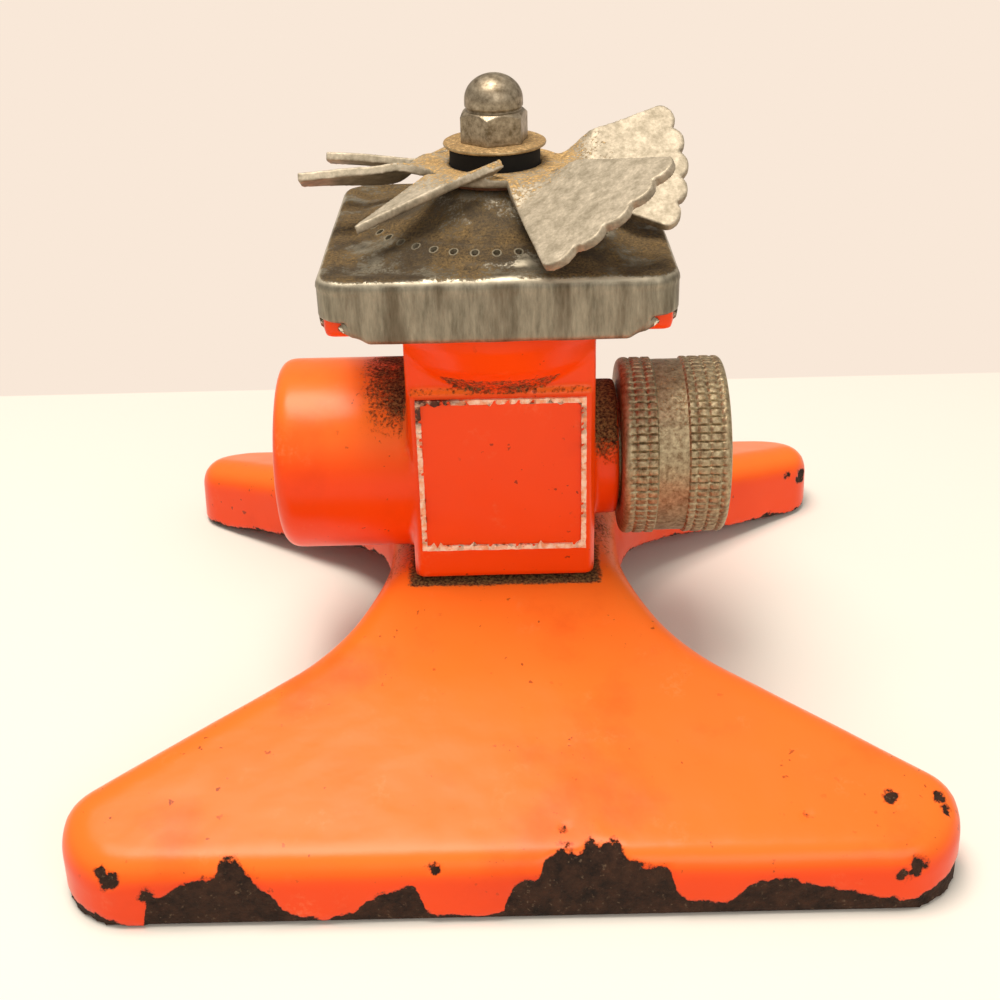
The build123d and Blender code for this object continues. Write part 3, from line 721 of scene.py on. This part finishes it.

# %% [markdown]
# ### Dull zinc
# The sheet's zinc is streaked down the skirt, and the rolled rim has a painted highlight. On top it is
# caked: tan where the dust is loose, near black where it is damp, and clean round each jet.

# %% Stained galvanised sheet


def pressed_zinc_sheet():
    """Galvanised sheet gone dull: streaked and stained on the skirt, caked with dust on top."""
    material, tree, place = new_material("galvanised_sheet")
    axes = add(tree, "SeparateXYZ", {0: place}).outputs
    facing = facing_up(tree)
    streaked = add(tree, "Mapping", {"Vector": place, "Scale": (1.0, 1.0, 0.18)}).outputs[0]
    spangle = grain(tree, streaked, 1.3, 0.32, 0.7, detail=7, rough=0.7)
    metal = blend_colours(tree, spangle, "#6E6858", "#A8A08C")
    stain = grain(tree, streaked, 5.0, 0.5, 0.66, detail=6)
    metal = blend_colours(tree, times(tree, stain, 0.6), metal, "#4A3A24")
    # painted highlight: a patchy pale band on the rolled rim, where the faces tilt half up
    rim_highlight_band = times(tree, between(tree, facing, 0.35, 0.7),
                     inverse(tree, between(tree, facing, 0.75, 0.97)))
    patchy_mask = times(tree, rim_highlight_band, grain(tree, place, 6, 0.3, 0.55, detail=4))
    metal = blend_colours(tree, times(tree, patchy_mask, 0.9), metal, "#DDD2BA")
    # dust on the flat ground and, in patches, on the cone
    across = add(tree, "VectorMath", {0: place, 1: (1, 1, 0)}, operation="MULTIPLY").outputs[0]
    radius = add(tree, "VectorMath", {0: across}, operation="LENGTH").outputs["Value"]
    cake = times(tree, between(tree, facing, 0.55, 0.93),
                 grain(tree, place, 8, 0.26, 0.52, detail=5))
    on_cone = times(tree, inverse(tree, between(tree, radius, 0.0195, 0.0235)),
                    grain(tree, place, 6, 0.42, 0.62))
    cake = combine(tree, "MAXIMUM", cake, on_cone)
    specks = grain(tree, place, 0.45, 0.38, 0.66, detail=6, rough=0.75)
    soil = blend_colours(tree, specks, "#3A2A14", "#9C7C46")
    wet = grain(tree, place, 12, 0.46, 0.60, detail=3)
    soil = blend_colours(tree, times(tree, wet, 0.75), soil, "#2C1F10")
    ragged = times(tree, combine(tree, "SUBTRACT", specks, 0.5), 0.5)
    dusty = between(tree, combine(tree, "ADD", cake, ragged), 0.25, 0.8)
    surface = blend_colours(tree, times(tree, dusty, 0.9), metal, soil)
    # clean metal that the water keeps round each jet
    turn = combine(tree, "ARCTAN2", axes["Y"], axes["X"])
    turn = combine(tree, "MULTIPLY_ADD", turn, jet_count / (2 * math.pi), jet_count / 4)
    nearest = combine(tree, "SUBTRACT", turn, combine(tree, "ROUND", turn))
    sideways = times(tree, nearest, 2 * math.pi * jet_ring * MM / jet_count)
    outwards = combine(tree, "SUBTRACT", radius, jet_ring * MM)
    flat = add(tree, "CombineXYZ", {0: sideways, 1: outwards})
    away = add(tree, "VectorMath", {0: flat.outputs[0]}, operation="LENGTH").outputs["Value"]
    washed = inverse(tree, between(tree, away, 0.00066, 0.00086))
    surface = blend_colours(tree, times(tree, washed, 0.7), surface, "#A9A088")
    height = combine(tree, "MULTIPLY_ADD", times(tree, specks, dusty), 0.22, times(tree, spangle, 0.03))
    close_material(tree, height, 0.8, {"Base Color": surface,
                                       "Roughness": from_clean(tree, dusty, 0.46, 0.95),
                                       "Metallic": from_clean(tree, dusty, 0.75, 0.0)})
    return material


cover_zinc = pressed_zinc_sheet()
finish_piece(cover, "cover", "sprinkler_body", cover_zinc, "galvanised_sheet", "cover_plate", crease=50)

# %% [markdown]
# ## The spinner
# The spinner is one stamped sheet. Two scalloped fans and three fingers are slit apart and twisted,
# all the same way, so that the jets push them round. Each blade starts as a flat grid, is bent to
# its outline in code and gets the sheet's thickness. Then all are melted into one sheet.

# %% Spinner: fans, fingers and hub
thickness, spinner_cell = 1.5, 0.26
hub_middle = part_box("thrust_washer")[1].z / MM + 0.05 + thickness / 2
hub_radius, bush_radius, twist_start, twist_end = 11.4, 7.51, 10.8, 17.0
fan_root, fan_lobes, lobe_depth = 8.6, 5, 1.5
finger_tip_width, finger_bow = 3.4, 0.5


def blade_grid(along, across):
    """A flat grid of points between 0 and 1, ready to be bent."""
    deselect()
    bpy.ops.mesh.primitive_grid_add(x_subdivisions=along, y_subdivisions=across, size=1,
                                    location=(0.5, 0.5, 0))
    piece = settle()
    return piece, points(piece) * MM


def twist(length, width, pitch, azimuth, rise):
    """A point of a flat blade after the twist: length along its middle line, width across it."""
    turn = math.radians(pitch) * ramp(length, twist_start, twist_end)
    lift = rise * ramp(length, twist_start, twist_end + 4)
    a = math.radians(azimuth)
    x = length * math.cos(a) - width * np.cos(turn) * math.sin(a)
    y = length * math.sin(a) + width * np.cos(turn) * math.cos(a)
    return np.c_[x, y, hub_middle + lift + width * np.sin(turn)]


def fan(azimuth, half_angle, reach, pitch, rise):
    """A fan with a scalloped outer edge, between two radial edges."""
    piece, grid = blade_grid(60, 110)
    turn = math.radians(half_angle) * (2 * grid[:, 1] - 1)
    lobe = np.abs(np.sin(math.pi * fan_lobes * grid[:, 1])) ** 0.6
    radius = fan_root + (reach + lobe_depth * lobe - fan_root) * grid[:, 0]
    move_points(piece, twist(radius * np.cos(turn), radius * np.sin(turn), pitch, azimuth, rise))
    return piece


def finger(azimuth, tip, high_root, low_root, pitch, rise):
    """A tapered finger between its raised edge and its lowered edge."""
    piece, grid = blade_grid(50, 16)
    tip, high, low = (np.array(p, dtype=float) for p in (tip, high_root, low_root))
    direction = (tip - high) / np.linalg.norm(tip - high)
    low_tip = tip + np.array([direction[1], -direction[0]]) * finger_tip_width
    # the roots are drawn in under the hub, so that the sheets melt together there
    high, low = high * 0.8, low * 0.72
    t, s = grid[:, :1], grid[:, 1:2]
    upper = high + (tip - high) * t
    lower = low + (low_tip - low) * t
    flat = upper + (lower - upper) * s
    a = math.radians(azimuth)
    length = flat[:, 0] * math.cos(a) + flat[:, 1] * math.sin(a)
    width = -flat[:, 0] * math.sin(a) + flat[:, 1] * math.cos(a)
    bent = twist(length, width, pitch, azimuth, rise)
    bent[:, 2] += finger_bow * np.sin(np.pi * t[:, 0])
    move_points(piece, bent)
    return piece


def bent_finger():
    """The finger beside the near fan: its front edge runs from a low tip to a raised corner."""
    piece, grid = blade_grid(60, 24)
    tip, corner = np.array((-21.8, -18.6, -4.9)), np.array((1.3, -10.9, 3.3))
    back_line = ((-21.2, -17.2, -4.7), (-10.9, -6.6, 0), (-1.6, -9.0, 0))
    tip_back, root, back = (np.array(p) for p in back_line)
    t, s = grid[:, :1], grid[:, 1:2]
    front = tip + (corner - tip) * t
    # the back edge climbs to the hub over the first part of its way, and then follows the hub
    climb, follow = np.minimum(t * 1.7, 1), np.maximum(t * 1.7 - 1, 0) / 0.7
    behind = tip_back + (root - tip_back) * climb + (back - root) * follow
    move_points(piece, front + (behind - front) * s + (0, 0, hub_middle))
    return piece


def hub_ring():
    low, high = hub_middle - thickness / 2, hub_middle + thickness / 2
    return lathe([(bush_radius, low), (hub_radius, low), (hub_radius, high), (bush_radius, high),
                  (bush_radius, low)], 120)


# a fan takes azimuth, half angle, reach, pitch and rise
# a finger takes azimuth, tip, raised root, lowered root, pitch and rise
blades = [fan(-60.2, 21.0, 35.6, 29.0, 0.0), fan(-1.8, 25.2, 30.2, 34.0, -0.6),
          finger(184.0, (-32.0, -4.6), (-9.6, -5.0), (-12.2, 9.6), 29.0, -1.2),
          finger(158.0, (-29.2, 12.4), (-12.0, 10.2), (-4.0, 15.0), 26.0, -0.5),
          bent_finger()]
for blade in blades:
    apply(blade, "SOLIDIFY", thickness=thickness * MM, offset=0.0)
spinner = join([hub_ring(), *blades])
remesh(spinner, spinner_cell, 3)
place = points(spinner)
out = normals(spinner)
radius = np.hypot(place[:, 0], place[:, 1])
sway = 0.06 * waves(place, 6.0) * ramp(radius, 12, 20)
place = place + out * sway[:, None]
move_points(spinner, place)
loose = 0.9 * ramp(21 - radius, 0, 11) * ramp(out[:, 2], 0.2, 0.7)
store(spinner, "dust", np.clip(loose * (0.9 + 0.4 * waves(place, 3.5)), 0, 1))

# %% Weathered zinc of the spinner


def stamped_zinc():
    """Zinc sheet with a pale oxide bloom, painted shade on the faces that look down, and tan dust by the
    hub.
    """
    material, tree, place = new_material("weathered_zinc")
    bloom = grain(tree, place, 2.2, 0.36, 0.66, detail=8, rough=0.7)
    metal = blend_colours(tree, bloom, "#A39882", "#DDD0B9")
    fine = grain(tree, place, 0.5, 0.35, 0.7, detail=4)
    metal = blend_colours(tree, times(tree, fine, 0.35), metal, "#6A5E4A")
    # painted shade: faces that look down are blended to darker tones
    painted_underside_shade = inverse(tree, between(tree, facing_up(tree), -0.35, 0.45))
    metal = blend_colours(tree, times(tree, painted_underside_shade, 0.75), metal,
                          blend_colours(tree, bloom, "#5E5140", "#9A8468"))
    specks = grain(tree, place, 0.6, 0.36, 0.66, detail=5, rough=0.75)
    dusty = stored_dust(tree, specks, 0.9, 0.35, 0.75)
    surface = blend_colours(tree, dusty, metal, blend_colours(tree, specks, "#7E5C2C", "#F0C888"))
    height = combine(tree, "MULTIPLY_ADD", times(tree, specks, dusty), 0.16, times(tree, bloom, 0.02))
    close_material(tree, height, 0.8, {"Base Color": surface,
                                       "Roughness": from_clean(tree, dusty, 0.55, 0.95),
                                       "Metallic": from_clean(tree, dusty, 0.45, 0.0)})
    return material


blade_zinc = stamped_zinc()
finish_piece(spinner, "spinner_sheet", "whirler", blade_zinc, "cast_zinc", "spinner", crease=50)

# %% [markdown]
# ## Cap nut and washer
# The cap nut is a six-sided prism cut by a cone, so its top corners shine, with a domed cap and a
# groove at the cap's foot. Dust lies thick on the washer below it.

# %% Old metal


def dull_metal(name, dark, light, dust_share=0.0, size=1.2, metallic=0.8, rough=0.42):
    """Two tones of tarnish, and grains of tan dust where the surface looks up."""
    material, tree, place = new_material(name)
    tone = grain(tree, place, size, 0.34, 0.68, detail=8, rough=0.7)
    specks = grain(tree, place, 0.5, 0.40, 0.62, detail=5, rough=0.75)
    lying = times(tree, between(tree, facing_up(tree), 0.2, 0.8), dust_share)
    dusty = between(tree, combine(tree, "MULTIPLY_ADD", specks, 0.6, lying), 0.65, 0.95)
    surface = blend_colours(tree, dusty, blend_colours(tree, tone, dark, light),
                            blend_colours(tree, specks, "#8A6432", "#E0BC84"))
    height = combine(tree, "MULTIPLY_ADD", times(tree, specks, dusty), 0.25, times(tree, tone, 0.02))
    close_material(tree, height, 0.7, {"Base Color": surface,
                                       "Roughness": from_clean(tree, dusty, rough, 0.95),
                                       "Metallic": from_clean(tree, dusty, metallic, 0.0)})
    return material


# %% Cap nut
nut_low, nut_high = (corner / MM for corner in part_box("dome_nut"))
nut_flats, nut_turn, hex_height, nut_cell = 10.0, math.radians(18), 4.9, 0.13
cap_radius, cap_groove, cap_flatness = 4.76, 0.35, 0.86
chamfer_radius, chamfer_low, chamfer_top = 6.4, 1.4, 4.9
hex_top = nut_low.z + hex_height
dome_start = nut_high.z - cap_radius * cap_flatness - 0.2
neck_radius = cap_radius - cap_groove
dome = [(cap_radius * math.cos(a), dome_start + cap_radius * cap_flatness * math.sin(a))
        for a in np.linspace(0, math.pi / 2, 16)]
cap = lathe([(0, nut_low.z + 1), (neck_radius, nut_low.z + 1), (neck_radius, hex_top + 0.3),
             (cap_radius, hex_top + 0.7), *dome], 96)
deselect()
hex_corner = nut_flats / 2 / math.cos(math.pi / 6)
bpy.ops.mesh.primitive_cylinder_add(vertices=6, radius=hex_corner * MM, depth=hex_height * MM,
                                    rotation=(0, 0, nut_turn + math.pi / 6),
                                    location=(0, 0, (nut_low.z + hex_height / 2) * MM))
prism = settle()
cone = lathe([(0, nut_low.z - 1), (chamfer_radius, nut_low.z - 1),
              (chamfer_radius, hex_top - chamfer_low), (chamfer_top, hex_top), (0, hex_top)], 96)
apply(prism, "BOOLEAN", operation="INTERSECT", object=cone, solver="EXACT")
bpy.data.objects.remove(cone, do_unlink=True)
nut = join([prism, cap])
remesh(nut, nut_cell, 2)
nut_metal = dull_metal("tarnished_steel", "#6E604A", "#C0B29A", dust_share=0.12)
finish_piece(nut, "cap_nut", "sprinkler_body", nut_metal, "bright_steel", "dome_nut")

# %% Top washer
washer_low, washer_high = (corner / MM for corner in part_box("top_washer"))
outer, inner, low, high = washer_high.x, 3.2, washer_low.z, washer_high.z
washer = lathe([(inner, high), (outer - 0.35, high), (outer - 0.08, high - 0.14), (outer, high - 0.35),
                (outer - 0.08, low + 0.14), (outer - 0.35, low), (inner, low), (inner, high)], 120)
washer_metal = dull_metal("dusty_steel", "#8A7350", "#C8AE82", dust_share=0.75, metallic=0.6)
finish_piece(washer, "dusty_washer", "sprinkler_body", washer_metal, "bright_steel", "top_washer")

# %% [markdown]
# ## The swivel coupling
# The coupling is a brass ring that turns on the inlet. Two bands are pressed with a knurl of small
# blocks, and the smooth band between them lies lower. The knurl is real: the ring is a fine grid,
# and each point is sunk by its place in the pattern. The thread in its mouth is a row of ridges.

# %% Coupling with a true knurl
coupling_low, coupling_high = (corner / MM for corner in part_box("hose_coupling"))
start, end, ring_radius = coupling_low.x, coupling_high.x, coupling_high.y
bore, shoulder_bore, relief, row_step = 12.5, 9.7, 13.1, 0.30
thread_pitch, thread_depth = 2.209, 0.55
knurl_count, knurl_step, knurl_depth = 68, 2.1, 0.42
band_low, band_high, band_depth = start + 6.0, start + 11.4, 0.45


def thread_radius(along):
    """The bore, which is narrower at each ridge of the thread."""
    ridge = max(0, math.cos(2 * math.pi * (along - start) / thread_pitch))
    return bore - 0.05 - thread_depth * ridge


line = [(shoulder_bore, start), (bore, start)]
line += [(ring_radius - 1.2 + 1.2 * math.sin(a), start + 1.2 - 1.2 * math.cos(a))
         for a in np.linspace(0, 1.5, 7)]
line += [(ring_radius, along) for along in np.arange(start + 1.3, end - 1.2, row_step)]
line += [(ring_radius - 1.1 + 1.1 * math.cos(a), end - 1.1 + 1.1 * math.sin(a))
         for a in np.linspace(0.1, 1.5, 7)]
line += [(bore + 0.5, end)]
line += [(thread_radius(along), along) for along in np.arange(end - 0.3, start + 8.6, -row_step)]
line += [(relief, start + 8.3), (relief, start + 2.6), (shoulder_bore, start + 2.6),
         (shoulder_bore, start)]
coupling = lathe(line, knurl_count * 6, "X", water_axis)
place = points(coupling)
across = place[:, 1:] - (0, water_axis)
radius = np.hypot(*across.T)
turn = np.arctan2(across[:, 1], across[:, 0]) * knurl_count / (2 * math.pi)
along = (place[:, 0] - start) / knurl_step
in_band = (place[:, 0] > band_low) & (place[:, 0] < band_high)
near_edge = ramp(place[:, 0], start + 1.0, start + 1.6) * ramp(end - place[:, 0], 0.8, 1.4)
lengthways = ramp(np.abs((turn % 1) - 0.5), 0.30, 0.46)
crossways = 0.8 * ramp(np.abs((along % 1) - 0.5), 0.36, 0.48)
groove = np.maximum(lengthways, crossways)
sunk = np.where(in_band, band_depth, knurl_depth * groove * near_edge) + 0.06 * waves(place, 2.0)
on_skin = radius > ring_radius - 0.3
shrink = np.where(on_skin, (radius - np.clip(sunk, 0, 1)) / radius, 1)
place[:, 1:] = across * shrink[:, None] + (0, water_axis)
move_points(coupling, place)
coupling_metal = dull_metal("old_brass", "#7A6448", "#CABD9A", dust_share=0.25, size=0.9, rough=0.5)
finish_piece(coupling, "coupling_ring", "swivel", coupling_metal, "brass", "hose_coupling", crease=45)

# %% [markdown]
# ## The small pieces
# Screws, washers, bush and the strainer keep the form that the frame gives them. They only get
# their materials.

# %% Materials for the pieces that stay as the frame has them
rubber_black = dull_metal("black_rubber", "#030302", "#0C0A08", metallic=0.0, rough=0.9)
fibre = dull_metal("fibre", "#4A2A16", "#7A4A2A", metallic=0.0, rough=0.9)
plain = {
    "base_screw_front": nut_metal, "base_screw_rear": nut_metal, "lock_washer_front": nut_metal,
    "lock_washer_rear": nut_metal, "spindle_bolt": nut_metal, "bearing_bush": rubber_black,
    "spindle_seal": rubber_black, "cover_gasket": rubber_black, "hose_washer": rubber_black,
    "thrust_washer": fibre, "inlet_tailpiece": coupling_metal, "screen_rim": coupling_metal,
    "inlet_screen": nut_metal,
}
for name, material in plain.items():
    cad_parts[name].data.materials[0] = material

# %% [markdown]
# ## Floor and light
# The object stands on a pale table with a pale wall behind it. The wall is the far part of the same
# plane, and shines evenly. A plain world and two large soft lamps light the object at the level at
# which a colour renders about as it is written.

# %% Floor
deselect()
bpy.ops.mesh.primitive_plane_add(size=6, location=(0, 0, 0))
floor = bpy.context.object
floor.name = "table"
table_white, tree, place = new_material("table_white")
wall_line, wall_softness = 0.134, 0.0005
depth = add(tree, "SeparateXYZ", {0: place}).outputs["Y"]
beyond = between(tree, depth, wall_line - wall_softness, wall_line + wall_softness)
near_side = add(tree, "BsdfPrincipled", {"Base Color": colour("#F7F3EA"), "Roughness": 0.6,
                                         "Specular IOR Level": 0.25})
far_side = add(tree, "Emission", {"Color": colour("#F9E8D8"), "Strength": 1.0})
both = add(tree, "MixShader", {0: beyond, 1: near_side.outputs[0], 2: far_side.outputs[0]})
add(tree, "OutputMaterial", {"Surface": both.outputs[0]})
floor.data.materials.append(table_white)

# %% World and lamps
world = bpy.data.worlds.new("soft_room")
bpy.context.scene.world = world
world.use_nodes = True
world.node_tree.nodes.clear()
room = add(world.node_tree, "Background", {"Color": colour("#FFF6EC"), "Strength": 0.40})
add(world.node_tree, "OutputWorld", {"Surface": room.outputs[0]})


def soft_lamp(name, place, aim, size, watts, tint):
    """A rectangular lamp at a place, turned to what it aims at, all in millimetres."""
    bpy.ops.object.light_add(type="AREA", location=Vector(place) * MM)
    lamp = bpy.context.object
    lamp.name = name
    lamp.data.shape = "RECTANGLE"
    lamp.data.size, lamp.data.size_y = size[0] * MM, size[1] * MM
    lamp.data.energy = watts
    lamp.data.color = colour(tint)[:3]
    lamp.rotation_euler = (Vector(aim) * MM - lamp.location).to_track_quat("-Z", "Y").to_euler()


soft_lamp("ceiling_window", (-110, -60, 760), (0, 0, 50), (420, 320), 5.2, "#FFF6EA")
soft_lamp("front_fill", (250, -650, 450), (0, 0, 40), (500, 300), 1.5, "#FFF8F0")
